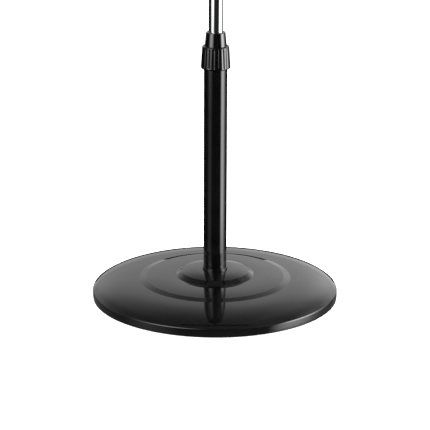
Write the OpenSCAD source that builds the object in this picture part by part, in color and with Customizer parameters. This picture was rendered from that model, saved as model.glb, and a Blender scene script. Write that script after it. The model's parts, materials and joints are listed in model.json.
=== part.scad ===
// Music stand: a heavy round base, a telescopic mast locked by a screw collar,
// and a tilting desk with two page arms. The front, where the reader stands, is -Y.
// The origin is the middle of the base on the floor, +Z is up, and lengths are in mm.

/* [Base] */
// Radius of the base at its lower edge
base_r = 186; // [182:1:195]
// How far the rubber feet lift the base off the floor
foot_lift = 1.5; // [1:0.5:3]
// Height of the upright part of the base's rim
rim_h = 10.8; // [10.2:0.2:11.4]
// Radius of the base at the foot of its step
step_r = 115; // [113:1:118]
// Height of the foot of the step above the base's lower edge
step_z = 28.4; // [28:0.2:30]
// Height of the step
step_rise = 2.8; // [2:0.2:4]
// Radius of the hub at its foot
hub_r = 58.6; // [58:0.2:60]
// Height of the hub's bevelled edge
hub_rise = 6.2; // [6:0.2:7]
// Wall thickness of the moulded cover
cover_wall = 2.4; // [2:0.2:3]
// Number of rubber feet
feet_count = 6; // [4:1:8]
// Radius of the circle that the feet stand on
feet_circle_r = 150; // [146:1:156]

/* [Mast] */
// Outer radius of the lower tube
outer_tube_r = 17.5; // [17.3:0.1:17.5]
// Height of the lower tube's top edge above the floor
outer_tube_top = 374; // [373:0.5:376]
// Outer radius of the chromed tube
inner_tube_r = 10.65; // [10.5:0.05:10.7]
// Height of the guide bush above the floor
bush_z = 196; // [180:1:210]
// Length of the chromed tube
inner_tube_length = 660; // [640:5:670]

/* [Collar] */
// Height of the collar's lower edge above the floor
collar_z = 356; // [355.5:0.5:356.5]
// Radius of the grip ring at its lower end
grip_low_r = 22.1; // [22:0.1:22.6]
// Radius of the grip ring at its upper end
grip_top_r = 20.2; // [20:0.1:20.6]
// Number of flutes round the grip ring
flute_count = 18; // [12:1:20]

/* [Desk] */
// Height of the tilt bolt above the floor
tilt_z = 886; // [886:1:892]
// How far the desk leans back from upright
desk_lean = 20; // [10:1:30]
// Width of the desk
desk_w = 500; // [480:5:560]
// Height of the desk's back panel
desk_h = 335; // [320:5:360]
// Radius of the desk's upper corners
desk_corner_r = 38; // [30:1:50]
// How far the shelf stands out from the panel
shelf_depth = 56; // [52:1:60]
// Height of the shelf's front lip
lip_h = 15; // [14:1:18]
// Thickness of the desk's sheet metal
sheet_t = 1.5; // [1.2:0.1:2]

/* [Hidden] */

$fn = 96;
gap = 0.06;                      // radial clearance of a running fit
eps = 1;                         // overrun of a cut past the face it opens

// Base heights, all above the floor
rim_top = foot_lift + rim_h;
slope_top = foot_lift + step_z;
annulus_z = slope_top + step_rise;
annulus_crown = 2;               // how far the ring inside the step rises to the hub
hub_edge_z = annulus_z + annulus_crown + hub_rise;
hub_top_z = hub_edge_z + 3.2;
rim_bulge = 0.2;                 // how far the rim leans out at its top
rim_round = 3;                   // radius of the rim's upper edge
step_run = 10.5;                 // width of the sloped step
hub_run = 7.6;                   // width of the hub's bevel
slope_steps = 18;
dome_steps = 8;
annulus_steps = 5;
plate_z = 3;
plate_t = 1.2;
plate_r = base_r - 6;
weight_z = plate_z + plate_t;
weight_t = 10;
weight_r = 128;
boss_r = 34;
boss_top = 30;
screw_circle_r = 152;
screw_turn = -90 + 180 / feet_count;     // the screws stand midway between the feet

// Mast
outer_tube_wall = 1.5;
outer_bore_r = outer_tube_r - outer_tube_wall;
outer_tube_z = boss_top - 8;
inner_tube_wall = 1.2;
inner_bore_r = inner_tube_r - inner_tube_wall;
inner_tube_z = bush_z - 6;
inner_tube_top = inner_tube_z + inner_tube_length;
bush_length = 42;
plug_length = 26;

// Collar
grip_bottom = collar_z + 2;
shoulder_z = collar_z + 34;
flute_turn = 10;                 // angle of the first flute from +X
cone_z = shoulder_z - 1;
cone_low_r = 16.4;
cone_top_r = 14.3;
cone_top = collar_z + 54.8;
sleeve_z = collar_z - 26;
thread_r = 16.2;
thread_top = shoulder_z - 3.5;
finger_top = cone_top - 4;
finger_low_r = 13.2;
finger_top_r = 12.1;
wedge_z = thread_top + 2.5;
wedge_top = wedge_z + 11;
wedge_play = 0.05;

// Desk, in its own frame: the tilt bolt is the origin and the panel is upright
panel_y = -34;                   // the panel's front face
panel_low = -128;
shelf_y = panel_y - shelf_depth;
tongue_t = 12;
friction_t = 1.5;
ear_t = 3;
ear_x = tongue_t / 2 + friction_t;
stiffener_t = 3;
bracket_y = panel_y + sheet_t + stiffener_t;   // back face of the stiffener, where the bracket sits
washer_t = 1.6;
knob_x = ear_x + ear_t + washer_t + 0.1;
insert_length = 15;
bolt_r = 4;
bracket_rivet_x = 27;
bracket_rivet_z = 20;
shelf_rivet_x = [-200, -70, 70, 200];
shelf_rivet_z = panel_low + 10;
rivet_r = 2.5;
shelf_rivet_r = 2;
lip_corner_r = 7;
arm_wire_r = 1.6;
arm_bend_r = 1.75;               // the bends are a little fuller than the wire
arm_x = 186;
arm_length = 130;
arm_stem = 36;                   // from the arm's pivot to its first bend
arm_crank = 30;                  // rise of the part that leans back to the page
arm_pivot_z = panel_low + sheet_t + 5;

// ---------- shared shapes ----------

function arc_points(centre, r, from, to, steps) =
    [for (i = [0:steps]) let (a = from + (to - from) * i / steps)
        centre + r * [cos(a), sin(a)]];

module tube(r, bore, h) {
    difference() {
        cylinder(r = r, h = h);
        translate([0, 0, -eps]) cylinder(r = bore, h = h + 2 * eps);
    }
}

module ring_of(count, r, turn = 0) {
    for (i = [0:count - 1]) rotate([0, 0, turn + 360 * i / count]) translate([r, 0, 0]) children();
}

// The four places where the bracket is riveted to the panel, in the desk's frame
module bracket_rivet_places() {
    for (x = [-bracket_rivet_x, bracket_rivet_x]) for (z = [-bracket_rivet_z, bracket_rivet_z])
        translate([x, 0, z]) children();
}

// The places where the shelf is riveted to the panel, in the desk's frame
module shelf_rivet_places() {
    for (x = shelf_rivet_x) translate([x, 0, shelf_rivet_z]) children();
}

// The desk's own frame: the tilt bolt is the origin and the panel is upright
module desk_frame() {
    translate([0, 0, tilt_z]) rotate([-desk_lean, 0, 0]) children();
}

// A cylinder that runs along +X from x
module x_cylinder(x, r, length) {
    translate([x, 0, 0]) rotate([0, 90, 0]) cylinder(r = r, h = length);
}

// A cylinder that runs along -Y from y
module front_cylinder(y, r, length) {
    translate([0, y, 0]) rotate([90, 0, 0]) cylinder(r = r, h = length);
}

// ---------- base ----------

// Height of the outer slope at t = 0 by the step and t = 1 by the rim
function slope_z(t) = slope_top - 4.3 * t - 8.4 * pow(t, 3) - 2.4 * pow(t, 14);
function slope_point(t) = [step_r + (base_r - 1.6 - step_r) * t, slope_z(t)];
function annulus_point(t) = [(step_r - step_run) * (1 - t) + hub_r * t,
    annulus_z + annulus_crown * (1 - pow(1 - t, 2))];
function dome_point(t) = let (r0 = hub_r - hub_run, r1 = outer_tube_r)
    [r0 + (r1 - r0) * t, hub_edge_z + (hub_top_z - hub_edge_z) * (1 - pow(1 - t, 2))];

rim_points = concat(
    [[base_r, foot_lift]],
    arc_points([base_r + rim_bulge - rim_round, rim_top], rim_round, 0, 56, 6));
slope_points = [for (i = [slope_steps - 1:-1:0]) slope_point(i / slope_steps)];
hub_points = concat(
    [for (i = [0:annulus_steps]) annulus_point(i / annulus_steps)],
    [for (i = [0:dome_steps]) dome_point(i / dome_steps)]);
cover_points = concat(rim_points, slope_points, hub_points);

module cover_solid() {
    rotate_extrude() polygon(concat([[0, foot_lift]], cover_points, [[0, hub_top_z]]));
}

module base_cover() {
    color("black") {
        difference() {
            cover_solid();
            translate([0, 0, -cover_wall]) intersection() {
                cover_solid();
                cylinder(r = base_r - cover_wall, h = hub_top_z);
            }
            cylinder(r = base_r - cover_wall, h = foot_lift + 1);
            cylinder(r = outer_tube_r + gap, h = hub_top_z + eps);
        }
        ring_of(feet_count, screw_circle_r, screw_turn) difference() {
            translate([0, 0, weight_z]) cylinder(r = 6, h = slope_z(0.6) - weight_z - 1);
            translate([0, 0, weight_z - eps]) cylinder(r = 1.9, h = 14);
        }
    }
}

module base_weight() {
    color("dimgray") difference() {
        union() {
            translate([0, 0, weight_z]) cylinder(r = weight_r, h = weight_t);
            translate([0, 0, weight_z]) cylinder(r1 = boss_r + 6, r2 = boss_r, h = boss_top - 2 - weight_z);
        }
        translate([0, 0, outer_tube_z]) cylinder(r = outer_tube_r, h = boss_top);
        cylinder(r = 5.5, h = boss_top);
        cylinder(r = 16, h = weight_z + 7);
    }
}

module base_plate() {
    color("gray") difference() {
        translate([0, 0, plate_z]) cylinder(r = plate_r, h = plate_t);
        cylinder(r = 24, h = plate_z + plate_t + eps);
        ring_of(feet_count, feet_circle_r, -90) cylinder(r = 3, h = plate_z + plate_t + eps);
        ring_of(feet_count, screw_circle_r, screw_turn) cylinder(r = 2.2, h = plate_z + plate_t + eps);
    }
}

module rubber_foot() {
    cylinder(r1 = 10.2, r2 = 11, h = 1);
    translate([0, 0, 1]) cylinder(r = 11, h = plate_z - 1);
    cylinder(r = 3, h = weight_z);
    translate([0, 0, weight_z]) cylinder(r1 = 4, r2 = 2.4, h = 2.6);
}

module base_feet() {
    color("#202020") ring_of(feet_count, feet_circle_r, -90) rubber_foot();
}

module plate_screw() {
    translate([0, 0, plate_z - 1.3]) cylinder(r1 = 3.2, r2 = 3.8, h = 1.3);
    translate([0, 0, plate_z]) cylinder(r = 1.9, h = 12);
}

module plate_screws() {
    color("silver") ring_of(feet_count, screw_circle_r, screw_turn) plate_screw();
}

module anchor_bolt() {
    color("silver") {
        translate([0, 0, weight_z + 7 - 2 - 6.4]) cylinder(r = 9.8, h = 6.4, $fn = 6);
        translate([0, 0, weight_z + 4.9]) cylinder(r = 5, h = 30);
    }
}

module anchor_washer() {
    color("gainsboro") translate([0, 0, weight_z + 5]) tube(11, 5.25, 2);
}

// Threaded insert pressed into the foot of the lower tube
module tube_plug() {
    color("slategray") translate([0, 0, outer_tube_z]) difference() {
        cylinder(r = outer_bore_r, h = plug_length);
        translate([0, 0, -eps]) cylinder(r = 5, h = plug_length + 2 * eps);
    }
}

module foot_ring() {
    color("black") translate([0, 0, hub_top_z]) rotate_extrude() polygon(concat(
        [[outer_tube_r, 0], [outer_tube_r + 1.7, 0], [outer_tube_r + 1.7, 1.6]],
        arc_points([outer_tube_r + 0.5, 1.8], 1.2, 0, 90, 5),
        [[outer_tube_r, 3]]));
}

// ---------- mast ----------

module outer_tube() {
    color("black") translate([0, 0, outer_tube_z])
        tube(outer_tube_r, outer_bore_r, outer_tube_top - outer_tube_z);
}

// Sleeve fixed in the top of the lower tube: thread outside, split fingers above
module collet_sleeve() {
    color("#303030") difference() {
        union() {
            translate([0, 0, sleeve_z]) cylinder(r = outer_bore_r, h = outer_tube_top - sleeve_z);
            translate([0, 0, outer_tube_top]) cylinder(r = thread_r, h = thread_top - outer_tube_top);
            translate([0, 0, thread_top])
                cylinder(r1 = finger_low_r, r2 = finger_top_r, h = finger_top - thread_top);
        }
        translate([0, 0, sleeve_z - eps]) cylinder(r = inner_tube_r + gap, h = finger_top);
        for (a = [0, 90]) rotate([0, 0, a])
            translate([-20, -0.8, thread_top - 4]) cube([40, 1.6, 40]);
    }
}

// Ring that the collar pushes down over the fingers
module wedge_ring() {
    color("goldenrod") translate([0, 0, wedge_z]) difference() {
        cylinder(r1 = 14.4, r2 = 13.5, h = wedge_top - wedge_z);
        translate([0, 0, -eps]) cylinder(
            r1 = finger_r(wedge_z - eps) + wedge_play,
            r2 = finger_r(wedge_top + eps) + wedge_play,
            h = wedge_top - wedge_z + 2 * eps);
    }
}
function finger_r(z) = finger_low_r
    + (finger_top_r - finger_low_r) * (z - thread_top) / (finger_top - thread_top);

module flute() {
    lean = atan2(grip_low_r - grip_top_r, shoulder_z - grip_bottom);
    translate([grip_low_r + 3.55, 0, grip_bottom + 4.6]) rotate([0, -lean, 0]) {
        cylinder(r = 4.3, h = 40, $fn = 40);
        sphere(r = 4.3, $fn = 40);
    }
}

module clamp_nut() {
    color("black") difference() {
        rotate_extrude() polygon(concat(
            [[outer_tube_r + gap, collar_z], [grip_low_r - 2.2, collar_z],
             [grip_low_r, grip_bottom + 0.4], [grip_top_r, shoulder_z - 1.4]],
            arc_points([grip_top_r - 1.3, shoulder_z - 1.3], 1.3, 5, 90, 4),
            [[cone_low_r + 1.2, shoulder_z], [cone_low_r + 0.9, cone_z], [thread_r - 1.6, cone_z],
             [thread_r - 1.6, thread_top + 1.2], [thread_r + gap, thread_top + 1.2],
             [thread_r + gap, outer_tube_top + 1.2], [outer_tube_r + gap, outer_tube_top + 1.2]]));
        for (i = [0:flute_count - 1]) rotate([0, 0, flute_turn + 360 * i / flute_count]) flute();
    }
}

module nose_cone() {
    color("black") rotate_extrude() polygon(concat(
        [[14.5, cone_z], [cone_low_r, cone_z], [cone_top_r + 0.15, cone_top - 1.6]],
        arc_points([cone_top_r - 1, cone_top - 1.2], 1.2, 10, 90, 4),
        [[inner_tube_r + 0.5, cone_top], [inner_tube_r + 0.5, cone_top - 2.4],
         [12.9, cone_top - 2.6], [12.9, wedge_top + 0.1],
         [14, wedge_top + 0.1], [14.5, wedge_z + 1]]));
}

// Bush on the foot of the chromed tube that slides in the lower tube
module guide_bush() {
    color("whitesmoke") translate([0, 0, bush_z]) difference() {
        cylinder(r = outer_bore_r - gap, h = bush_length);
        translate([0, 0, -eps]) cylinder(r = inner_tube_r + gap, h = bush_length + 2 * eps);
        for (z = [12, 24]) translate([0, 0, z]) tube(outer_bore_r + 1, outer_bore_r - 1.2, 6);
    }
}

module bush_circlip() {
    difference() {
        tube(13.6, inner_tube_r - 0.5, 1.2);
        translate([0, -2.5, -eps]) cube([20, 5, 4]);
    }
}

module bush_circlips() {
    color("silver") {
        translate([0, 0, bush_z - 1.3]) bush_circlip();
        translate([0, 0, bush_z + bush_length + 0.1]) bush_circlip();
    }
}

module inner_tube() {
    color("gainsboro") difference() {
        translate([0, 0, inner_tube_z]) tube(inner_tube_r, inner_bore_r, inner_tube_length);
        translate([0, 0, bush_z - 1.3]) tube(inner_tube_r + 1, inner_tube_r - 0.5, 1.2);
        translate([0, 0, bush_z + bush_length + 0.1]) tube(inner_tube_r + 1, inner_tube_r - 0.5, 1.2);
        translate([0, 0, inner_tube_top - 14]) rotate([90, 0, 0]) cylinder(r = 2.5, h = 20);
    }
}

module tube_end_liner() {
    color("#303030") translate([0, 0, inner_tube_z - 2]) {
        tube(inner_tube_r, 6, 2);
        tube(inner_bore_r, 6, 22);
    }
}

// ---------- tilt head ----------

module head_socket() {
    socket_z = inner_tube_top - 34;
    neck_z = inner_tube_top + 6;
    color("#181818") difference() {
        union() {
            translate([0, 0, socket_z]) cylinder(r1 = 13.4, r2 = 14.6, h = 4);
            translate([0, 0, socket_z + 4]) cylinder(r = 14.6, h = neck_z - socket_z - 4);
            intersection() {
                translate([-tongue_t / 2, -13, neck_z - 8]) cube([tongue_t, 26, 60]);
                union() {
                    translate([0, 0, tilt_z]) x_cylinder(-20, 13, 40);
                    translate([-20, -13, neck_z - 8]) cube([40, 26, tilt_z - neck_z + 8]);
                }
            }
        }
        translate([0, 0, socket_z - eps]) cylinder(r = inner_tube_r, h = inner_tube_top - socket_z + eps);
        translate([0, 0, tilt_z]) x_cylinder(-20, bolt_r + gap, 40);
        translate([0, 0, inner_tube_top - 14]) rotate([90, 0, 0]) cylinder(r = 2.5, h = 20);
    }
}

module socket_screw() {
    color("silver") translate([0, 0, inner_tube_top - 14]) difference() {
        front_cylinder(-inner_bore_r - 0.3, 2.5, 4.4);
        translate([0, -12.6, 0]) rotate([90, 0, 0]) cylinder(r = 1.45, h = 8, $fn = 6);
    }
}

module friction_washers() {
    color("saddlebrown") desk_frame() for (x = [-ear_x, tongue_t / 2]) difference() {
        x_cylinder(x + 0.04, 12, friction_t - 0.08);
        x_cylinder(x - eps, bolt_r, friction_t + 2 * eps);
    }
}

module bracket_ear(x) {
    difference() {
        intersection() {
            translate([x, bracket_y, -16]) cube([ear_t, 60, 32]);
            union() {
                x_cylinder(-30, 13, 60);
                translate([-30, bracket_y, -16]) cube([60, -bracket_y - 8, 32]);
            }
        }
        x_cylinder(x - eps, bolt_r, ear_t + 2 * eps);
    }
}

module desk_bracket() {
    color("#181818") desk_frame() {
        bracket_ear(ear_x);
        bracket_ear(-ear_x - ear_t);
        difference() {
            translate([-36, bracket_y, -30]) cube([72, ear_t, 60]);
            bracket_rivet_places() front_cylinder(0, rivet_r, 60);
        }
    }
}

module bracket_rivets() {
    color("silver") desk_frame() bracket_rivet_places() {
        front_cylinder(bracket_y + ear_t + 1.6, 4, 1.6);
        front_cylinder(bracket_y + ear_t, rivet_r, bracket_y + ear_t - panel_y);
        front_cylinder(panel_y, 4.2, 1.2);
    }
}

module tilt_bolt() {
    color("silver") desk_frame() {
        x_cylinder(-ear_x - ear_t - 4.6, 7.4, 4.6);
        x_cylinder(-ear_x - ear_t, bolt_r, knob_x + insert_length - 1 + ear_x + ear_t);
    }
}

module bolt_washer() {
    color("gainsboro") desk_frame() difference() {
        x_cylinder(ear_x + ear_t, 9, washer_t);
        x_cylinder(ear_x, bolt_r, 10);
    }
}

module tilt_knob() {
    color("black") desk_frame() translate([knob_x, 0, 0]) rotate([0, 90, 0]) difference() {
        union() {
            cylinder(r1 = 10, r2 = 12, h = 5);
            translate([0, 0, 5]) cylinder(r = 19, h = 14);
            translate([0, 0, 19]) cylinder(r1 = 19, r2 = 14, h = 3);
        }
        ring_of(7, 22.5) translate([0, 0, 4]) cylinder(r = 6, h = 24);
        translate([0, 0, -eps]) cylinder(r = 6, h = insert_length + eps);
    }
}

module knob_insert() {
    color("goldenrod") desk_frame() translate([knob_x, 0, 0]) rotate([0, 90, 0])
        tube(6, bolt_r + gap, insert_length);
}

// ---------- desk ----------

module panel_outline(inset = 0) {
    r = desk_corner_r - inset;
    x = desk_w / 2 - inset;
    top = panel_low + desk_h - inset;
    polygon(concat(
        [[-x, panel_low + inset], [x, panel_low + inset]],
        arc_points([x - r, top - r], r, 0, 90, 12),
        arc_points([-x + r, top - r], r, 90, 180, 12)));
}

module panel_plate(y, t, inset = 0) {
    translate([0, y, 0]) rotate([90, 0, 0]) linear_extrude(t) panel_outline(inset);
}

module desk_panel() {
    color("black") desk_frame() difference() {
        panel_plate(panel_y + sheet_t, sheet_t);
        bracket_rivet_places() front_cylinder(0, rivet_r, 60);
        shelf_rivet_places() front_cylinder(0, shelf_rivet_r, 60);
    }
}

// Channel riveted across the back of the panel, behind the bracket
module desk_stiffener() {
    color("#181818") desk_frame() difference() {
        union() {
            translate([-190, panel_y + sheet_t, -28]) cube([380, stiffener_t, 56]);
            for (z = [-28, 25]) translate([-190, panel_y + sheet_t, z]) cube([152, 9, 3]);
            for (z = [-28, 25]) translate([38, panel_y + sheet_t, z]) cube([152, 9, 3]);
        }
        bracket_rivet_places() front_cylinder(0, rivet_r, 60);
    }
}

module desk_shelf() {
    color("black") desk_frame() difference() {
        union() {
            translate([-desk_w / 2, shelf_y, panel_low - sheet_t])
                cube([desk_w, shelf_depth + 2 * sheet_t, sheet_t]);
            translate([0, shelf_y + sheet_t, 0]) rotate([90, 0, 0]) linear_extrude(sheet_t) lip_outline();
            translate([-desk_w / 2, panel_y + sheet_t, panel_low - sheet_t]) cube([desk_w, sheet_t, 20]);
        }
        shelf_rivet_places() front_cylinder(0, shelf_rivet_r, 60);
        for (x = [-arm_x, arm_x]) translate([x, 0, arm_pivot_z]) front_cylinder(shelf_y + 10, 2, 20);
    }
}

module lip_outline() {
    x = desk_w / 2 - lip_corner_r;
    z = panel_low + lip_h - lip_corner_r;
    polygon(concat(
        [[-desk_w / 2, panel_low - sheet_t], [desk_w / 2, panel_low - sheet_t]],
        arc_points([x, z], lip_corner_r, 0, 90, 8),
        arc_points([-x, z], lip_corner_r, 90, 180, 8)));
}

module shelf_rivets() {
    color("silver") desk_frame() shelf_rivet_places() {
        front_cylinder(panel_y + 2 * sheet_t + 1.2, 3.4, 1.2);
        front_cylinder(panel_y + 2 * sheet_t, shelf_rivet_r, 2 * sheet_t);
        front_cylinder(panel_y, 3.4, 1);
    }
}

// Soft strip round the panel's sides and top
module panel_edge_trim() {
    strip = 2.2;
    color("#202020") desk_frame() difference() {
        translate([0, panel_y + sheet_t + 1, 0]) rotate([90, 0, 0]) linear_extrude(sheet_t + 2)
            difference() {
                trim_outline(strip);
                trim_outline(-4);
            }
        panel_plate(panel_y + sheet_t, sheet_t);
        translate([-desk_w, -100, panel_low - 20]) cube([2 * desk_w, 200, 60]);
    }
}

module trim_outline(grow) {
    r = desk_corner_r + grow;
    x = desk_w / 2 + grow;
    top = panel_low + desk_h + grow;
    polygon(concat(
        [[-x, panel_low], [x, panel_low]],
        arc_points([x - r, top - r], r, 0, 90, 12),
        arc_points([-x + r, top - r], r, 90, 180, 12)));
}

// Soft strip along the shelf's lip
module lip_edge_trim() {
    color("#202020") desk_frame() difference() {
        translate([lip_corner_r - desk_w / 2, shelf_y - 1, panel_low + lip_h - 4])
            cube([desk_w - 2 * lip_corner_r, sheet_t + 2, 5]);
        translate([-desk_w, shelf_y, panel_low]) cube([2 * desk_w, sheet_t, lip_h]);
    }
}

// ---------- page arms ----------

// Wire arm that turns on the lip, with its upper part cranked back over the shelf to the page
module page_arm() {
    wire_y = shelf_y - 1.2 - arm_wire_r;
    crank = [0, panel_y - 5 - wire_y, arm_crank];
    translate([0, wire_y, arm_pivot_z]) {
        rotate([90, 0, 0]) translate([0, 0, -1.1]) tube(5, 2 + gap, 2.2);
        translate([0, 0, 4]) cylinder(r = arm_wire_r, h = arm_stem - 4);
    }
    translate([0, wire_y, arm_pivot_z + arm_stem]) {
        sphere(r = arm_bend_r);
        rotate([-atan2(crank.y, crank.z), 0, 0]) cylinder(r = arm_wire_r, h = norm(crank));
        translate(crank) {
            sphere(r = arm_bend_r);
            cylinder(r = arm_wire_r, h = arm_length - arm_stem - arm_crank);
        }
    }
}

module page_arm_left() {
    color("gainsboro") desk_frame() translate([-arm_x, 0, 0]) page_arm();
}

module page_arm_right() {
    color("gainsboro") desk_frame() translate([arm_x, 0, 0]) page_arm();
}

module arm_pivots() {
    color("silver") desk_frame() for (x = [-arm_x, arm_x]) translate([x, 0, arm_pivot_z]) {
        front_cylinder(shelf_y + sheet_t + 1.4, 3.6, 1.4);
        front_cylinder(shelf_y + sheet_t, 2, sheet_t + 1.2 + 2 * arm_wire_r + 0.4);
        front_cylinder(shelf_y - 1.2 - 2 * arm_wire_r - 0.4, 4, 1.4);
    }
}

module arm_tip() {
    translate([0, panel_y - 5, arm_pivot_z + arm_length - 16]) difference() {
        cylinder(r = 2.8, h = 18);
        translate([0, 0, -eps]) cylinder(r = arm_wire_r, h = 16 + eps);
    }
}

module arm_tip_left() {
    color("#202020") desk_frame() translate([-arm_x, 0, 0]) arm_tip();
}

module arm_tip_right() {
    color("#202020") desk_frame() translate([arm_x, 0, 0]) arm_tip();
}

base_cover();
base_weight();
base_plate();
base_feet();
plate_screws();
anchor_bolt();
anchor_washer();
tube_plug();
foot_ring();
outer_tube();
collet_sleeve();
wedge_ring();
clamp_nut();
nose_cone();
guide_bush();
bush_circlips();
inner_tube();
tube_end_liner();
head_socket();
socket_screw();
friction_washers();
desk_bracket();
bracket_rivets();
tilt_bolt();
bolt_washer();
desk_panel();
desk_stiffener();
desk_shelf();
shelf_rivets();
panel_edge_trim();
lip_edge_trim();
tilt_knob();
knob_insert();
page_arm_left();
page_arm_right();
arm_pivots();
arm_tip_left();
arm_tip_right();
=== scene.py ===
"""Looks of the music stand: rebuilt visible pieces, materials, studio and camera.

The frame is the CAD's: +Z up, the reader stands at -Y, origin on the floor. The stand's own sizes
are written in millimetres and scaled by MM. The studio and the camera are in metres.
"""
import json
import math

import bmesh
import bpy
from mathutils import Matrix, Vector

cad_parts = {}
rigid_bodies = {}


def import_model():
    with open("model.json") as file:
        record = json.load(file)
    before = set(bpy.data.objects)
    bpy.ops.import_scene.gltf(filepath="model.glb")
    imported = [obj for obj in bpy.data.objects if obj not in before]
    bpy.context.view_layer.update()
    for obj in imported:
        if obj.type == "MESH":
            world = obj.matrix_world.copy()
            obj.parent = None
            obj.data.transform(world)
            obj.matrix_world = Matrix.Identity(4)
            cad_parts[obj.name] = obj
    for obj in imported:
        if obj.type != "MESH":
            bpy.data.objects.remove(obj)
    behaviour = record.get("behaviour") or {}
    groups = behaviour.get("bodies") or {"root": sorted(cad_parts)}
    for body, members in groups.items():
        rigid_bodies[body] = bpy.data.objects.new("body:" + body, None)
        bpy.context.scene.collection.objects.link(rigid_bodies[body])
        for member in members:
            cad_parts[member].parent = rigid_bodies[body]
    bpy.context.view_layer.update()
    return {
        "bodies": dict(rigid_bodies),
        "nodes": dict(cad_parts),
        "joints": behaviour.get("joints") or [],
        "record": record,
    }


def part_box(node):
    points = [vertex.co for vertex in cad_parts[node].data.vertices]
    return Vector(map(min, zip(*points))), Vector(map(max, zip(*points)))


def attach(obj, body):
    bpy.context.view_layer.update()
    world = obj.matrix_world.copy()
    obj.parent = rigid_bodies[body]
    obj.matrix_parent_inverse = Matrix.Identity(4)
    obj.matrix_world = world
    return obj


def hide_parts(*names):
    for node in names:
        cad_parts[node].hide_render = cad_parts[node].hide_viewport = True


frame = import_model()
scene = bpy.context.scene
MM = 0.001

# ---------------------------------------------------------------- shapes


def arc(centre, radius, start, end, steps):
    """Points on an arc in a plane, with angles in degrees."""
    points = []
    for i in range(steps + 1):
        a = math.radians(start + (end - start) * i / steps)
        points.append((centre[0] + radius * math.cos(a), centre[1] + radius * math.sin(a)))
    return points


def rounded(corners, steps=5, closed=False):
    """A polyline whose corners (x, y, fillet radius) are replaced by tangent arcs."""
    out = []
    count = len(corners)
    for i, (x, y, radius) in enumerate(corners):
        here = Vector((x, y))
        ends = not closed and i in (0, count - 1)
        if radius <= 0 or ends:
            out.append((x, y))
            continue
        before = Vector(corners[i - 1][:2])
        after = Vector(corners[(i + 1) % count][:2])
        to_before = (before - here).normalized()
        to_after = (after - here).normalized()
        half = to_before.angle(to_after) / 2
        reach = radius / math.tan(half)
        start = here + to_before * reach
        end = here + to_after * reach
        centre = here + (to_before + to_after).normalized() * (radius / math.sin(half))
        a0 = start - centre
        turn = a0.angle_signed(end - centre)
        for k in range(steps + 1):
            a = -turn * k / steps
            out.append((
                centre.x + a0.x * math.cos(a) - a0.y * math.sin(a),
                centre.y + a0.x * math.sin(a) + a0.y * math.cos(a)))
    return out


def finished(name, bm, sharp=38):
    """Turns a bmesh into an object with smooth shading and sharp edges over an angle."""
    bmesh.ops.remove_doubles(bm, verts=bm.verts, dist=1e-7)
    bmesh.ops.recalc_face_normals(bm, faces=bm.faces)
    mesh = bpy.data.meshes.new(name)
    bm.to_mesh(mesh)
    bm.free()
    mesh.shade_smooth()
    mesh.set_sharp_from_angle(angle=math.radians(sharp))
    obj = bpy.data.objects.new(name, mesh)
    scene.collection.objects.link(obj)
    normals = obj.modifiers.new("normals", "WEIGHTED_NORMAL")
    normals.keep_sharp = True
    return obj


def grid_faces(bm, rows, wrap_rows=False, wrap_columns=True):
    """Joins rows of vertices, all of one length, with quads."""
    row_count = len(rows) if wrap_rows else len(rows) - 1
    width = len(rows[0])
    for i in range(row_count):
        a = rows[i]
        b = rows[(i + 1) % len(rows)]
        for j in range(width if wrap_columns else width - 1):
            k = (j + 1) % width
            bm.faces.new((a[j], a[k], b[k], b[j]))


def lathe_into(bm, profile, turns, place=None):
    """Revolves a closed (r, z) outline, in mm, about Z. Points on the axis aren't used."""
    rows = []
    for r, z in profile:
        row = []
        for j in range(turns):
            a = 2 * math.pi * j / turns
            point = Vector((r * math.cos(a), r * math.sin(a), z)) * MM
            row.append(bm.verts.new(place @ point if place else point))
        rows.append(row)
    grid_faces(bm, rows, wrap_rows=True)


def lathe(name, profile, turns, place=None):
    """An object made by revolving a closed (r, z) outline."""
    bm = bmesh.new()
    lathe_into(bm, profile, turns, place)
    return finished(name, bm)


def ring_profile(bore, r, low, high, edge):
    """Outline of a tube with softened edges, in mm."""
    return rounded([(bore, low, edge), (r, low, edge), (r, high, edge), (bore, high, edge)],
                   steps=3, closed=True)


# ---------------------------------------------------------------- materials


def node_material(name):
    """A new material, with its node tree and its main shader."""
    material = bpy.data.materials.new(name)
    material.use_nodes = True
    tree = material.node_tree
    shader = tree.nodes["Principled BSDF"]
    return material, tree, shader


def object_noise(tree, scale, detail=2.0, stretch=(1, 1, 1)):
    """Noise in object space, one feature every 1/scale metres."""
    coords = tree.nodes.new("ShaderNodeTexCoord")
    mapping = tree.nodes.new("ShaderNodeMapping")
    mapping.inputs["Scale"].default_value = stretch
    noise = tree.nodes.new("ShaderNodeTexNoise")
    noise.inputs["Scale"].default_value = scale
    noise.inputs["Detail"].default_value = detail
    tree.links.new(coords.outputs["Object"], mapping.inputs["Vector"])
    tree.links.new(mapping.outputs["Vector"], noise.inputs["Vector"])
    return noise.outputs["Fac"]


def ranged(tree, value, low, high, start=0.3, end=0.7):
    """Maps a value between start and end to one between low and high."""
    node = tree.nodes.new("ShaderNodeMapRange")
    node.inputs["From Min"].default_value = start
    node.inputs["From Max"].default_value = end
    node.inputs["To Min"].default_value = low
    node.inputs["To Max"].default_value = high
    tree.links.new(value, node.inputs["Value"])
    return node.outputs["Result"]


def mixed(tree, value, colour_a, colour_b):
    """Two colours, blended by a noise value."""
    ramp = tree.nodes.new("ShaderNodeValToRGB")
    ramp.color_ramp.elements[0].position = 0.35
    ramp.color_ramp.elements[0].color = (*colour_a, 1)
    ramp.color_ramp.elements[1].position = 0.65
    ramp.color_ramp.elements[1].color = (*colour_b, 1)
    tree.links.new(value, ramp.inputs["Fac"])
    return ramp.outputs["Color"]


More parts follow.
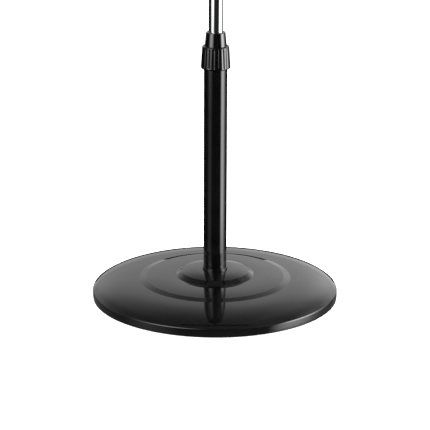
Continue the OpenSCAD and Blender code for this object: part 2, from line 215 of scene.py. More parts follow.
def bumped(tree, shader, height, distance):
    """Fine relief, in metres from the lowest to the highest point."""
    bump = tree.nodes.new("ShaderNodeBump")
    bump.inputs["Strength"].default_value = 1.0
    bump.inputs["Distance"].default_value = distance
    tree.links.new(height, bump.inputs["Height"])
    tree.links.new(bump.outputs["Normal"], shader.inputs["Normal"])


def surface(name, colour, roughness, colour_scale, rough_scale, bump=None, metallic=0.0,
            stretch=(1, 1, 1)):
    """A procedural finish: two close colours, uneven roughness, and optional fine relief.

    colour is a pair, roughness a (low, high) pair, bump a (scale, distance, detail) triple.
    """
    material, tree, shader = node_material(name)
    shader.inputs["Metallic"].default_value = metallic
    tint = mixed(tree, object_noise(tree, colour_scale, 4.0, stretch), *colour)
    tree.links.new(tint, shader.inputs["Base Color"])
    rough = ranged(tree, object_noise(tree, rough_scale, 5.0, stretch), *roughness)
    tree.links.new(rough, shader.inputs["Roughness"])
    if bump:
        scale, distance, detail = bump
        bumped(tree, shader, object_noise(tree, scale, detail, stretch), distance)
    return material


MOULDING = surface("black_moulding", ((0.002, 0.002, 0.0022), (0.0035, 0.0035, 0.0038)),
                   (0.012, 0.03), 24, 60, bump=(70, 0.000005, 1.0))
ENAMEL = surface("black_enamel", ((0.002, 0.002, 0.0022), (0.0038, 0.0038, 0.0042)),
                 (0.012, 0.03), 30, 90, bump=(200, 0.000002, 1.0))
POWDER = surface("satin_powder_coat", ((0.016, 0.016, 0.017), (0.024, 0.024, 0.0255)),
                 (0.28, 0.40), 14, 150, bump=(1300, 0.00007, 3.0))
CHROME = surface("chrome", ((0.78, 0.79, 0.80), (0.84, 0.85, 0.86)),
                 (0.006, 0.02), 12, 45, metallic=1.0, stretch=(1, 1, 0.15))
ZINC = surface("zinc_steel", ((0.44, 0.45, 0.47), (0.60, 0.61, 0.62)), (0.24, 0.42), 220, 340,
               bump=(900, 0.00003, 2.0), metallic=1.0)
ZINC_SHEET = surface("zinc_sheet", ((0.38, 0.39, 0.40), (0.56, 0.57, 0.58)), (0.28, 0.5), 55, 160,
                     bump=(300, 0.00002, 2.0), metallic=1.0)
IRON = surface("cast_iron", ((0.030, 0.029, 0.028), (0.065, 0.062, 0.058)), (0.55, 0.8), 70, 240,
               bump=(420, 0.0003, 5.0), metallic=0.4)
RUBBER = surface("rubber", ((0.008, 0.008, 0.008), (0.018, 0.018, 0.018)), (0.55, 0.72), 90, 400,
                 bump=(1800, 0.00005, 3.0))
NYLON = surface("dark_nylon", ((0.012, 0.012, 0.013), (0.022, 0.022, 0.024)), (0.38, 0.5), 120, 300,
                bump=(900, 0.00003, 3.0))
ACETAL = surface("white_acetal", ((0.74, 0.74, 0.71), (0.82, 0.82, 0.80)), (0.28, 0.38), 60, 200,
                 bump=(500, 0.00002, 2.0))
BRASS = surface("brass", ((0.62, 0.42, 0.16), (0.76, 0.56, 0.26)), (0.18, 0.32), 160, 400,
                bump=(600, 0.00003, 2.0), metallic=1.0, stretch=(0.1, 0.1, 4))
FIBRE = surface("fibre", ((0.10, 0.045, 0.022), (0.24, 0.12, 0.06)), (0.6, 0.8), 700, 500,
                bump=(1200, 0.00008, 4.0))

SLOT_MATERIALS = {
    "black_moulding": MOULDING, "black_enamel": ENAMEL, "chrome": CHROME, "zinc_steel": ZINC,
    "zinc_sheet": ZINC_SHEET, "cast_iron": IRON, "rubber": RUBBER, "dark_nylon": NYLON,
    "white_acetal": ACETAL, "brass": BRASS, "fibre": FIBRE,
}
node_slots = {row["node"]: row["material_slot"] for row in frame["record"]["subparts"]}
node_bodies = {}
for body, members in frame["record"]["behaviour"]["bodies"].items():
    for member in members:
        node_bodies[member] = body


def dress(obj, material):
    """Gives an object one material."""
    obj.data.materials.clear()
    obj.data.materials.append(material)


def stands_for(obj, node, material=None):
    """The piece takes the CAD node's place, body and material slot."""
    dress(obj, material or SLOT_MATERIALS[node_slots[node]])
    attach(obj, node_bodies[node])
    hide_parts(node)


# Desk pieces whose black finish is a satin powder coat, not the lower tube's gloss enamel
POWDER_COATED = ("head_socket", "desk_bracket", "desk_panel", "desk_stiffener", "desk_shelf")
EDGES = {                # radius, in mm, that the CAD pieces' sharp edges are broken by
    "desk_bracket": 0.6, "desk_stiffener": 0.6,
    "head_socket": 0.8, "panel_edge_trim": 0.5, "lip_edge_trim": 0.5, "base_plate": 0.3,
    "base_feet": 0.4, "tilt_bolt": 0.5, "bolt_washer": 0.3, "bracket_rivets": 0.7,
    "shelf_rivets": 0.5, "arm_pivots": 0.4, "plate_screws": 0.3, "anchor_bolt": 0.5,
    "anchor_washer": 0.3, "friction_washers": 0.2, "base_weight": 1.0, "guide_bush": 0.4,
    "wedge_ring": 0.3, "collet_sleeve": 0.2, "bush_circlips": 0.15, "knob_insert": 0.3,
    "socket_screw": 0.2, "tube_plug": 0.4, "tube_end_liner": 0.3,
}


def edges_broken(obj, radius):
    """Rounds the sharp edges of a CAD piece, as a press, a mould or a file does."""
    weld = obj.modifiers.new("weld", "WELD")
    weld.merge_threshold = 0.000002
    bevel = obj.modifiers.new("edges", "BEVEL")
    bevel.width = radius * MM
    bevel.segments = 3
    bevel.limit_method = "ANGLE"
    bevel.angle_limit = math.radians(40)
    bevel.use_clamp_overlap = True
    normals = obj.modifiers.new("normals", "WEIGHTED_NORMAL")
    normals.keep_sharp = False


for node, obj in frame["nodes"].items():
    dress(obj, POWDER if node in POWDER_COATED else SLOT_MATERIALS[node_slots[node]])
    if node in EDGES:
        edges_broken(obj, EDGES[node])


def node_mm(node):
    """The lowest and highest corners of a CAD node, in mm."""
    low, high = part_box(node)
    return low / MM, high / MM


# ---------------------------------------------------------------- base

cover_low, cover_high = node_mm("base_cover")
tube_low, tube_high = node_mm("outer_tube")
TUBE_R = tube_high.x
LIFT = cover_low.z
HUB_TOP = cover_high.z
RIM_BULGE = 0.2          # how far the rim leans out past its foot
BASE_R = cover_high.x - RIM_BULGE
SLOPE_END_R = BASE_R - 1.6
STEP_R = 115.0           # the sloped step climbs from here to the flat ring's edge
STEP_Z = LIFT + 28.4
RING_EDGE_R = 104.5
RING_Z = STEP_Z + 2.4
RING_CROWN = 2.4         # rise of the ring from its edge to the hub
HUB_R = 58.6
HUB_FILLET = 3.5
HUB_EDGE_R = 51.0
HUB_EDGE_Z = HUB_TOP - 3.2
SIDE_R = 55.0            # the rim's side is a very flat barrel
SIDE_MIDDLE = (BASE_R + 0.3, LIFT + 5.5)     # its widest point
RIM_CORNER = (BASE_R + RIM_BULGE, LIFT + 12.3)
RIM_FILLET = 3.0
WALL = 2.4
SLOPE_STEPS = 40
DOME_STEPS = 24
RING_STEPS = 12


def slope_z(t):
    """Height of the convex slope: t is 0 at the step and 1 at the rim."""
    return STEP_Z - 4.3 * t - 8.4 * t ** 3 - 2.4 * t ** 14


def crowned(t, start, end):
    """A point on a curve that leaves start (r, z) steepest and arrives level at end."""
    return (start[0] + (end[0] - start[0]) * t,
            start[1] + (end[1] - start[1]) * (1 - (1 - t) ** 2))


def cover_outline():
    """The cover's outer face from the rim's lower edge to the tube, in mm."""
    slope = []
    for i in range(SLOPE_STEPS - 1, -1, -1):
        t = i / SLOPE_STEPS
        slope.append((STEP_R + (SLOPE_END_R - STEP_R) * t, slope_z(t)))
    side = arc((SIDE_MIDDLE[0] - SIDE_R, SIDE_MIDDLE[1]), SIDE_R, -5.7, 0, 6)
    corner = rounded([side[0] + (0,), RIM_CORNER + (RIM_FILLET,), slope[0] + (0,)], steps=14)
    rim = side[:-1] + corner[1:]
    ring_start = (RING_EDGE_R, RING_Z)
    ring_end = (HUB_R, RING_Z + RING_CROWN)
    ring = [crowned(i / RING_STEPS, ring_start, ring_end) for i in range(1, RING_STEPS)]
    hub_edge = (HUB_EDGE_R, HUB_EDGE_Z)
    hub_top = (TUBE_R + 0.1, HUB_TOP)
    dome = [crowned(i / DOME_STEPS, hub_edge, hub_top) for i in range(1, DOME_STEPS + 1)]
    step = rounded([slope[-2] + (0,), (STEP_R, STEP_Z, 0.6), ring_start + (0.6,),
                    ring[0] + (0,)], steps=6)
    hub = rounded([ring[-1] + (0,), ring_end + (HUB_FILLET,), hub_edge + (0.5,),
                   dome[0] + (0,)], steps=8)
    return rim[:-1] + slope[:-2] + step + ring[1:-1] + hub + dome[1:]


outer = cover_outline()
# The inner face is the outer one lowered by the wall and kept within the rim, down to the rim's foot
inner = [(min(r, BASE_R - WALL), max(z - WALL, LIFT + 0.01)) for r, z in reversed(outer)]
while inner[-2][1] <= LIFT + 0.02:
    inner.pop()
cover_mesh = bmesh.new()
lathe_into(cover_mesh, outer + inner, turns=256)
base_cover = finished("moulded_base_cover", cover_mesh, sharp=50)
stands_for(base_cover, "base_cover")

TUBE_WALL = 1.5
outer_tube = lathe("enamelled_lower_tube", ring_profile(
    TUBE_R - TUBE_WALL, TUBE_R, tube_low.z, tube_high.z, 0.4), turns=160)
stands_for(outer_tube, "outer_tube")

foot_low, foot_high = node_mm("foot_ring")
foot_ring = lathe("tube_foot_ring", rounded([
    (TUBE_R + 0.02, foot_low.z, 0), (foot_high.x, foot_low.z, 0),
    (foot_high.x, foot_high.z, 1.1), (TUBE_R + 0.02, foot_high.z, 0.2)], steps=6, closed=True), turns=160)
stands_for(foot_ring, "foot_ring")

# ---------------------------------------------------------------- collar

nut_low, nut_high = node_mm("clamp_nut")
cone_low, cone_high = node_mm("nose_cone")
inner_low, inner_high = node_mm("inner_tube")
CHROME_R = inner_high.x
GRIP_LOW_R = nut_high.x
GRIP_TOP_R = 20.2
GRIP_LOW_EDGE = 2.4
GRIP_TOP_EDGE = 1.5
FLUTES = 18
FLUTE_TURN = -7.0        # degrees of turn about +Z
FLUTE_DEPTH = 0.62
FLUTE_END = nut_low.z + 3.6
FLUTE_RUNOUT = 3.0       # length over which the flutes run out at the shoulder
CONE_LOW_R = cone_high.x
CONE_TOP_R = 14.3


def flute_cut(r, z, angle):
    """How deep the flutes between the rounded ribs cut in, with round lower ends."""
    cell = 2 * math.pi / FLUTES
    across = ((angle / cell) % 1.0 - 0.5) * 2
    half_width = r * cell / 2
    down = max(0.0, (FLUTE_END - z) / half_width)
    runout = min(1.0, max(0.0, (nut_high.z - z) / FLUTE_RUNOUT))
    return FLUTE_DEPTH * runout * max(0.0, 1 - math.hypot(across, down)) ** 2


def fluted_nut():
    """The grip ring: a tapered band with flutes, closed over the bore."""
    columns = FLUTES * 40
    bore = TUBE_R + 0.06
    counterbore_z = nut_low.z + 20.7
    seat_z = cone_low.z
    top = nut_high.z
    inside = [(16.3, seat_z), (16.3, counterbore_z), (bore, counterbore_z), (bore, nut_low.z)]
    under = arc((GRIP_LOW_R - GRIP_LOW_EDGE, nut_low.z + GRIP_LOW_EDGE), GRIP_LOW_EDGE, -90, -4, 7)
    side_low = under[-1][1]
    side_high = top - GRIP_TOP_EDGE
    side = []
    for i in range(1, 44):
        t = i / 44
        side.append((GRIP_LOW_R + (GRIP_TOP_R - GRIP_LOW_R) * t, side_low + (side_high - side_low) * t))
    shoulder = arc((GRIP_TOP_R - GRIP_TOP_EDGE, side_high), GRIP_TOP_EDGE, 3, 90, 6)
    groove = [(CONE_LOW_R + 1.1, top), (CONE_LOW_R + 0.8, top - 0.25), (CONE_LOW_R + 0.8, seat_z)]
    bm = bmesh.new()
    rows = []
    for r, z in inside + under + side + shoulder + groove:
        row = []
        for j in range(columns):
            a = 2 * math.pi * j / columns
            outside = r > GRIP_TOP_R - 0.8
            cut = flute_cut(r, z, a - math.radians(FLUTE_TURN)) if outside else 0
            row.append(bm.verts.new(Vector(((r - cut) * math.cos(a), (r - cut) * math.sin(a), z)) * MM))
        rows.append(row)
    grid_faces(bm, rows, wrap_rows=True)
    return finished("fluted_grip_ring", bm, sharp=32)


clamp_nut = fluted_nut()
stands_for(clamp_nut, "clamp_nut")

nose_cone = lathe("smooth_nose_cone", rounded([
    (14.5, cone_low.z, 0.2), (CONE_LOW_R, cone_low.z, 0.5),
    (CONE_TOP_R + 0.15, cone_high.z - 0.1, 1.1), (CHROME_R + 0.5, cone_high.z, 0.6),
    (CHROME_R + 0.5, cone_high.z - 2.4, 0.2), (12.9, cone_high.z - 2.6, 0),
    (12.9, cone_low.z + 11.2, 0), (14.0, cone_low.z + 11.0, 0)], steps=6, closed=True), turns=160)
stands_for(nose_cone, "nose_cone")

CHROME_WALL = 1.2
inner_tube = lathe("chromed_tube", ring_profile(
    CHROME_R - CHROME_WALL, CHROME_R, inner_low.z, inner_high.z, 0.3), turns=128)
stands_for(inner_tube, "inner_tube")

# ---------------------------------------------------------------- desk

bolt_low, bolt_high = node_mm("tilt_bolt")
TILT_Z = (bolt_low.z + bolt_high.z) / 2      # the lengths below are in the desk's own frame
DESK_LEAN = 20.0
PANEL_Y = -34.0
SHELF_Y = -90.0
PANEL_LOW = -128.0
ARM_X = 186.0
WIRE_R = 1.6
WIRE_Y = SHELF_Y - 1.2 - WIRE_R
PAGE_Y = PANEL_Y - 5.0   # where the wire presses the page
PIVOT_Z = PANEL_LOW + 6.5
EYE_R = 3.75
STEM = 36.0
CRANK = 30.0
CRANK_BEND = 5.0
ARM_LENGTH = 130.0
TIP_LOW = PIVOT_Z + ARM_LENGTH - 16.0
DESK_HALF = node_mm("desk_panel")[1].x
DESK_TOP = PANEL_LOW + 335.0
DESK_CORNER_R = 38.0
SHEET = 1.5
LIP_TOP = PANEL_LOW + 15.0
LIP_CORNER_R = 7.0
FLANGE_TOP = PANEL_LOW - SHEET + 20.0
# From the desk's own frame, with the tilt bolt at the origin and the panel upright
DESK = Matrix.Translation((0, 0, TILT_Z * MM)) @ Matrix.Rotation(math.radians(-DESK_LEAN), 4, "X")


def panel_outline(inset):
    """The desk's face in (x, z), with round upper corners and nearly square lower ones."""
    half = DESK_HALF - inset
    top_r = DESK_CORNER_R - inset
    low_r = 1.5 - inset
    low = PANEL_LOW + inset
    return rounded([(-half, low, low_r), (half, low, low_r), (half, DESK_TOP - inset, top_r),
                    (-half, DESK_TOP - inset, top_r)], steps=16, closed=True)


def sheet_panel():
    """The desk's back panel, with its sheared edges rounded over."""
    edge = 0.5
    near = 0.15
    levels = [(edge, 0), (near, near), (0, edge),
              (0, SHEET - edge), (near, SHEET - near), (edge, SHEET)]
    bm = bmesh.new()
    rows = []
    for inset, depth in levels:
        y = PANEL_Y + depth
        rows.append([bm.verts.new(DESK @ (Vector((x, y, z)) * MM)) for x, z in panel_outline(inset)])
    grid_faces(bm, rows)
    bm.faces.new(rows[0])
    bm.faces.new(rows[-1])
    return finished("sheared_desk_panel", bm)


stands_for(sheet_panel(), "desk_panel", POWDER)


def folded_shelf():
    """The shelf, folded up at the front into a lip and at the back into a flange."""
    profile = rounded([
        (SHELF_Y, LIP_TOP, 0.6), (SHELF_Y, PANEL_LOW - SHEET, 2.6),
        (PANEL_Y + 2 * SHEET, PANEL_LOW - SHEET, 1.8), (PANEL_Y + 2 * SHEET, FLANGE_TOP, 0.6),
        (PANEL_Y + SHEET, FLANGE_TOP, 0.6), (PANEL_Y + SHEET, PANEL_LOW, 0.3),
        (SHELF_Y + SHEET, PANEL_LOW, 1.1), (SHELF_Y + SHEET, LIP_TOP, 0.6)], steps=6, closed=True)
    # Each station is a place along the shelf and how far the lip's round corner drops there
    right = []
    for k in range(13):
        a = math.pi / 2 * k / 12
        right.append((DESK_HALF - LIP_CORNER_R * (1 - math.sin(a)), LIP_CORNER_R * (1 - math.cos(a))))
    stations = [(-x, drop) for x, drop in reversed(right)] + right
    bm = bmesh.new()
    rows = []
    for x, drop in stations:
        row = []
        for y, z in profile:
            if y < SHELF_Y + SHEET + 0.01 and z > PANEL_LOW + 4:
                z -= drop
            row.append(bm.verts.new(DESK @ (Vector((x, y, z)) * MM)))
        rows.append(row)
    grid_faces(bm, rows)
    bm.faces.new(rows[0])
    bm.faces.new(rows[-1])
    return finished("folded_music_shelf", bm)


stands_for(folded_shelf(), "desk_shelf", POWDER)


def bent(corners):
    """A 3-D polyline whose corners (x, y, z, fillet radius) are replaced by tangent arcs."""
    steps = 8
    out = []
    for i, (x, y, z, radius) in enumerate(corners):
        here = Vector((x, y, z))
        if radius <= 0:
            out.append(here)
            continue
        to_before = (Vector(corners[i - 1][:3]) - here).normalized()
        to_after = (Vector(corners[i + 1][:3]) - here).normalized()
        half = to_before.angle(to_after) / 2
        start = here + to_before * radius / math.tan(half)
        centre = here + (to_before + to_after).normalized() * radius / math.sin(half)
        axis = to_before.cross(to_after).normalized()
        for k in range(steps + 1):
            swing = Matrix.Rotation(-(math.pi - 2 * half) * k / steps, 3, axis)
            out.append(centre + swing @ (start - centre))
    return out


def domed_end(frame, radius, outward):
    """Rings of a wire's domed end, from its tip inwards."""
    point, ahead, across = frame
    rings = []
    for k in range(1, 5):
        a = math.pi / 2 * k / 4
        centre = point + ahead * (outward * radius * math.cos(a))
        rings.append((centre, ahead, across, radius * math.sin(a)))
    return rings


def wire_into(bm, path, radius, place):
    """A round wire along a path in mm, with domed ends."""
    sides = 20
    frames = []
    side = None
    for i, point in enumerate(path):
        ahead = path[min(i + 1, len(path) - 1)] - path[max(i - 1, 0)]
        ahead.normalize()
        if side is None:
            side = ahead.orthogonal().normalized()
        side = (side - ahead * side.dot(ahead)).normalized()
        frames.append((point, ahead, side.copy()))
    rings = domed_end(frames[0], radius, -1)
    rings += [(point, ahead, across, radius) for point, ahead, across in frames[1:-1]]
    rings += reversed(domed_end(frames[-1], radius, 1))
    rows = []
    for centre, ahead, across, r in rings:
        up = ahead.cross(across)
        row = []
        for j in range(sides):
            a = 2 * math.pi * j / sides
            spoke = across * math.cos(a) + up * math.sin(a)
            row.append(bm.verts.new(place @ ((centre + spoke * r) * MM)))
        rows.append(row)
    grid_faces(bm, rows)
    bm.faces.new(rows[0])
    bm.faces.new(rows[-1])


def page_arm(name, node, x):
    """A sprung wire: an eye round the pivot, a stem, and a crank back to the page."""
    eye = []
    for k in range(33):
        a = math.radians(60 - 330 * k / 32)
        eye.append(Vector((EYE_R * math.cos(a), WIRE_Y, PIVOT_Z + EYE_R * math.sin(a))))
    rod = bent([
        (0, WIRE_Y, PIVOT_Z + EYE_R + 0.15, 0), (0, WIRE_Y, PIVOT_Z + STEM, CRANK_BEND),
        (0, PAGE_Y, PIVOT_Z + STEM + CRANK, CRANK_BEND), (0, PAGE_Y, PIVOT_Z + ARM_LENGTH - 1.7, 0)])
    place = DESK @ Matrix.Translation((x * MM, 0, 0))
    bm = bmesh.new()
    wire_into(bm, eye, WIRE_R, place)
    wire_into(bm, rod, WIRE_R, place)
    stands_for(finished(name, bm), node)


def arm_tip(name, node, x):
    """A soft cap on the end of a page arm, with a domed top and a rolled lower edge."""
    place = DESK @ Matrix.Translation((x * MM, PAGE_Y * MM, 0))
    bore = WIRE_R + 0.02
    outline = rounded([
        (bore, TIP_LOW, 0), (2.55, TIP_LOW, 0.3), (2.8, TIP_LOW + 1.2, 0.4),
        (2.45, TIP_LOW + 2.6, 0.5), (2.8, TIP_LOW + 18, 2.2), (0.05, TIP_LOW + 18, 0),
        (0.05, TIP_LOW + 16.2, 0), (bore, TIP_LOW + 16.2, 0)], steps=6, closed=True)
    stands_for(lathe(name, outline, turns=32, place=place), node)


page_arm("page_arm_wire_left", "page_arm_left", -ARM_X)
page_arm("page_arm_wire_right", "page_arm_right", ARM_X)
arm_tip("page_arm_cap_left", "arm_tip_left", -ARM_X)
arm_tip("page_arm_cap_right", "arm_tip_right", ARM_X)

KNOB_X = 12.2            # the knob's inner face
KNOB_R = 19.0
KNOB_FACE_R = 12.5
KNOB_LOBES = 7
LOBE_DEPTH = 3.1


def lobed_knob():
    """The tilt knob: seven lobes with rounded edges, a collar below and a dished face."""
    outline = rounded([
        (6.1, 0, 0.3), (10.2, 0, 0.6), (12.2, 4.6, 0.8), (KNOB_R, 5.2, 1.6), (KNOB_R, 22.0, 3.2),
        (KNOB_FACE_R, 22.0, 1.0), (9.5, 20.9, 1.5), (0.05, 20.6, 0), (0.05, 15.1, 0), (6.1, 15.1, 0.3)],
        steps=6, closed=True)
    place = Matrix.Translation((KNOB_X * MM, 0, 0)) @ Matrix.Rotation(math.pi / 2, 4, "Y")
    bm = bmesh.new()
    rows = []
    columns = KNOB_LOBES * 24
    for r, z in outline:
        row = []
        for j in range(columns):
            a = 2 * math.pi * j / columns
            dip = 0.5 + 0.5 * math.cos(KNOB_LOBES * a)
            reach = max(0.0, min(1.0, (r - KNOB_FACE_R) / (KNOB_R - KNOB_FACE_R)))
            lobed = r - LOBE_DEPTH * reach * dip ** 1.6
            point = Vector((lobed * math.cos(a), lobed * math.sin(a), z)) * MM
            row.append(bm.verts.new(DESK @ place @ point))
        rows.append(row)
    grid_faces(bm, rows, wrap_rows=True)
    return finished("lobed_tilt_knob", bm)


stands_for(lobed_knob(), "tilt_knob")

# ---------------------------------------------------------------- studio

scene.view_settings.view_transform = "Standard"


def floor_material():
    """Pale matt floor that is lit evenly from within, so a shadow only tints it."""
    material, tree, shader = node_material("studio_floor")
    tint = mixed(tree, object_noise(tree, 2.0), (0.90, 0.90, 0.90), (0.93, 0.93, 0.93))
    tree.links.new(tint, shader.inputs["Base Color"])
    shader.inputs["Roughness"].default_value = 0.9
    shader.inputs["Specular IOR Level"].default_value = 0.0
    shader.inputs["Emission Color"].default_value = (1, 1, 1, 1)
    shader.inputs["Emission Strength"].default_value = 0.9
    return material


bpy.ops.mesh.primitive_plane_add(size=60)
floor = bpy.context.active_object
floor.name = "studio_floor"
dress(floor, floor_material())
floor.visible_glossy = False
floor.visible_diffuse = False
floor.visible_shadow = False


def ramp_node(tree, value, stops, interpolation="LINEAR"):
    """Levels of grey at positions between 0 and 1."""
    node = tree.nodes.new("ShaderNodeValToRGB")
    ramp = node.color_ramp
    ramp.interpolation = interpolation
    while len(ramp.elements) < len(stops):
        ramp.elements.new(0.5)
    for element, (position, level) in zip(ramp.elements, stops):
        element.position = position
        element.color = (level, level, level, 1)
    tree.links.new(value, node.inputs["Fac"])
    return node.outputs["Color"]


def calculated(tree, operation, a, b):
    """The result of a Math node on two sockets or numbers."""
    node = tree.nodes.new("ShaderNodeMath")
    node.operation = operation
    for socket, value in zip(node.inputs, (a, b)):
        if isinstance(value, (int, float)):
            socket.default_value = value
        else:
            tree.links.new(value, socket)
    return node.outputs["Value"]


def by_elevation(stops):
    """Ramp stops at the sine of an elevation, as positions between 0 and 1."""
    return [(math.sin(math.radians(elevation)) / 2 + 0.5, level) for elevation, level in stops]


# The light that the object sees by elevation in degrees: behind it, and in front of it
BACKDROP = ((-90, 0.02), (-0.7, 0.02), (0, 0.74), (4, 0.80), (10, 0.70), (14, 0.80), (19, 0.84),
            (25, 0.72), (33, 0.42), (43, 0.26), (55, 0.17), (90, 0.15))
ROOM = ((-90, 0.02), (16, 0.02), (28, 0.09), (40, 0.13), (60, 0.16), (90, 0.15))
# The backdrop brightens to both sides: position is (x + 1) / 2 of the direction
SIDES = ((0.0, 0.55), (0.25, 0.95), (0.36, 1.15), (0.46, 0.97), (0.5, 1.0), (0.53, 1.15), (0.62, 1.75),
         (0.72, 1.6), (0.85, 0.7), (1.0, 0.5))


def studio_world():
    """White for the camera; for the object, a bright backdrop behind it and a dark room in front."""
    world = bpy.data.worlds.new("studio")
    scene.world = world
    world.use_nodes = True
    tree = world.node_tree
    tree.nodes.clear()
    new = tree.nodes.new
    link = tree.links.new
    coords = new("ShaderNodeTexCoord")
    split = new("ShaderNodeSeparateXYZ")
    link(coords.outputs["Generated"], split.inputs[0])
    up = calculated(tree, "MULTIPLY_ADD", split.outputs["Z"], 0.5)
    up.node.inputs[2].default_value = 0.5
    across = calculated(tree, "MULTIPLY_ADD", split.outputs["X"], 0.5)
    across.node.inputs[2].default_value = 0.5
    behind = ranged(tree, split.outputs["Y"], 0, 1, start=-0.12, end=0.22)
    backdrop = calculated(tree, "MULTIPLY", ramp_node(tree, up, by_elevation(BACKDROP)),
                          ramp_node(tree, across, SIDES, "EASE"))
    room = ramp_node(tree, up, by_elevation(ROOM))
    level = calculated(tree, "ADD", calculated(tree, "MULTIPLY", backdrop, behind),
                       calculated(tree, "MULTIPLY", room, calculated(tree, "SUBTRACT", 1.0, behind)))
    lit = new("ShaderNodeBackground")
    link(level, lit.inputs["Color"])
    white = new("ShaderNodeBackground")
    white.inputs["Color"].default_value = (1, 1, 1, 1)
    white.inputs["Strength"].default_value = 1.05
    path = new("ShaderNodeLightPath")
    mix = new("ShaderNodeMixShader")
    link(path.outputs["Is Camera Ray"], mix.inputs["Fac"])
    link(lit.outputs["Background"], mix.inputs[1])
    link(white.outputs["Background"], mix.inputs[2])
    out = new("ShaderNodeOutputWorld")
    link(mix.outputs["Shader"], out.inputs["Surface"])


studio_world()


def between(stops, value):
    """Straight-line reading of a table of (position, level) pairs."""
    if value <= stops[0][0]:
        return stops[0][1]
    for (x0, y0), (x1, y1) in zip(stops, stops[1:]):
        if value <= x1:
            return y0 + (y1 - y0) * (value - x0) / (x1 - x0)
    return stops[-1][1]


CARD_R = 1.0
CARD_LOW = -0.8
CARD_HIGH = 1.6
CARD_MARGIN = 25         # degrees that a card's sheet runs on past its glow
LEAN = ((-0.80, -3), (-0.25, -3), (0.11, 0), (0.90, 22))     # (height, degrees that a card leans by)


def glowing_sheet(name, grid_size, place, glow):
    """A sheet that only the object's reflections see.

    place(u, v) gives a point and glow(u, v) the light there, for u and v from 0 to 1.
    """
    columns, rows = grid_size
    bm = bmesh.new()
    layer = bm.verts.layers.float.new("glow")
    grid = []
    for i in range(rows + 1):
        row = []
        for j in range(columns + 1):
            vert = bm.verts.new(place(j / columns, i / rows))
            vert[layer] = glow(j / columns, i / rows)
            row.append(vert)
        grid.append(row)
    grid_faces(bm, grid, wrap_columns=False)
    sheet = finished(name, bm)
    material = bpy.data.materials.new(name)
    material.use_nodes = True
    tree = material.node_tree
    tree.nodes.clear()
    attribute = tree.nodes.new("ShaderNodeAttribute")
    attribute.attribute_name = "glow"
    emission = tree.nodes.new("ShaderNodeEmission")
    clear = tree.nodes.new("ShaderNodeBsdfTransparent")
    both = tree.nodes.new("ShaderNodeAddShader")
    out = tree.nodes.new("ShaderNodeOutputMaterial")
    tree.links.new(attribute.outputs["Fac"], emission.inputs["Strength"])
    tree.links.new(emission.outputs["Emission"], both.inputs[0])
    tree.links.new(clear.outputs["BSDF"], both.inputs[1])
    tree.links.new(both.outputs["Shader"], out.inputs["Surface"])
    dress(sheet, material)
    sheet.visible_camera = False
    sheet.visible_shadow = False


def light_card(name, turns, levels):
    """A curved softbox round the mast: (azimuth, share) pairs, and (height, strength) pairs."""
    first = turns[0][0] - CARD_MARGIN
    last = turns[-1][0] + CARD_MARGIN

    def spot(u, v):
        return first + (last - first) * u, CARD_LOW + (CARD_HIGH - CARD_LOW) * v

    def place(u, v):
        turn, z = spot(u, v)
        return (CARD_R * math.sin(math.radians(turn)), -CARD_R * math.cos(math.radians(turn)), z)

    def glow(u, v):
        turn, z = spot(u, v)
        return between(turns, turn - between(LEAN, z)) * between(levels, z)

    glowing_sheet(name, (72, 84), place, glow)


light_card("card_right",
           ((49, 0.0), (54, 0.25), (60, 0.70), (68, 1.0), (78, 0.95), (90, 0.60), (98, 0.26),
            (110, 0.06), (125, 0.0)),
           ((-0.80, 0.5), (-0.50, 1.5), (-0.34, 2.4), (-0.24, 4.6), (-0.17, 6.8), (0.02, 7.5),
            (0.11, 8.3), (0.25, 11.6), (0.37, 14.5), (0.45, 14.5), (0.62, 4.0), (0.90, 1.2),
            (1.2, 0.0)))
light_card("card_left",
           ((-86, 0.0), (-78, 0.15), (-69, 0.55), (-59, 1.0), (-50, 0.85), (-37, 0.42), (-27, 0.0)),
           ((-0.80, 0.1), (-0.30, 0.35), (-0.17, 0.46), (0.02, 0.5), (0.11, 0.9), (0.25, 2.4),
            (0.37, 8.0), (0.45, 8.0), (0.62, 4.0), (1.0, 2.5), (1.5, 0.0)))

# The lit floor round the base, as the base's rim mirrors it: (distance from the axis, level)
GLOW_FROM = 0.185
GLOW_TO = 0.40
FRONT_GLOW = ((GLOW_FROM, 0.16), (0.22, 0.10), (0.28, 0.0))
BACK_GLOW = ((GLOW_FROM, 0.30), (0.20, 0.05), (0.28, 0.0))


def floor_glow_place(u, v):
    """A point of the ring of floor, just above the floor itself."""
    turn = 2 * math.pi * u
    reach = GLOW_FROM + (GLOW_TO - GLOW_FROM) * v
    return (reach * math.sin(turn), -reach * math.cos(turn), 0.0004)


def floor_glow_level(u, v):
    """Dim in front of the base and bright behind it, with a soft change at its sides."""
    reach = GLOW_FROM + (GLOW_TO - GLOW_FROM) * v
    back = min(1.0, max(0.0, 0.5 - 2.0 * math.cos(2 * math.pi * u)))
    return between(FRONT_GLOW, reach) * (1 - back) + between(BACK_GLOW, reach) * back


glowing_sheet("floor_glow", (144, 24), floor_glow_place, floor_glow_level)

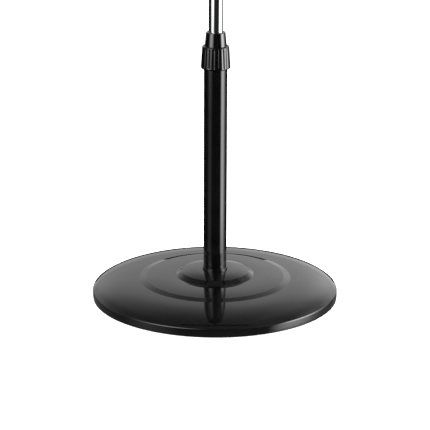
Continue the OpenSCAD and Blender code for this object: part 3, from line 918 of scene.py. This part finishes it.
DESK_LIGHT_R = 1.8
DESK_LIGHT_LOW = 0.72
DESK_LIGHT_HIGH = 2.6
DESK_LIGHT_LEVELS = ((DESK_LIGHT_LOW, 0.0), (1.0, 0.7), (1.5, 1.0), (2.0, 0.8), (DESK_LIGHT_HIGH, 0.0))


def desk_light(name, first, last, strength):
    """A soft wall of light that stands high enough to show the desk and not the base."""

    def height(v):
        return DESK_LIGHT_LOW + (DESK_LIGHT_HIGH - DESK_LIGHT_LOW) * v

    def place(u, v):
        turn = math.radians(first + (last - first) * u)
        return (DESK_LIGHT_R * math.sin(turn), -DESK_LIGHT_R * math.cos(turn), height(v))

    def glow(u, v):
        return strength * math.sin(math.pi * u) ** 1.5 * between(DESK_LIGHT_LEVELS, height(v))

    glowing_sheet(name, (36, 20), place, glow)


desk_light("desk_light_left", -110, -5, 1.3)
desk_light("desk_light_right", 10, 110, 0.9)


SOFT_LIGHT_SIDE = 3.0


def soft_light(name, place, turn, watts):
    """A large light that softly lifts the matt pieces and isn't mirrored in the glossy ones."""
    lamp = bpy.data.lights.new(name, "AREA")
    lamp.shape = "RECTANGLE"
    lamp.size = SOFT_LIGHT_SIDE
    lamp.size_y = SOFT_LIGHT_SIDE
    lamp.energy = watts
    obj = bpy.data.objects.new(name, lamp)
    scene.collection.objects.link(obj)
    obj.location = place
    obj.rotation_euler = [math.radians(a) for a in turn]
    obj.visible_glossy = False
    obj.visible_camera = False


soft_light("top_fill", (0, 0, 3.2), (0, 0, 0), 60)
soft_light("front_fill", (-1.2, -3.4, 2.0), (65, 0, -18), 55)
soft_light("rear_fill", (1.4, 3.0, 2.2), (-60, 0, -22), 35)

# ---------------------------------------------------------------- camera

camera_data = bpy.data.cameras.new("camera")
camera = bpy.data.objects.new("camera", camera_data)
scene.collection.objects.link(camera)
camera_data.sensor_width = 36
camera_data.lens = 168.4
camera_data.clip_end = 100
camera.location = (-0.0002, -2.900, 1.0393)
pitch = Matrix.Rotation(math.radians(90 - 17.435), 4, "X")
roll = Matrix.Rotation(math.radians(0.2), 4, "Z")
camera.rotation_euler = (pitch @ roll).to_euler()
scene.camera = camera
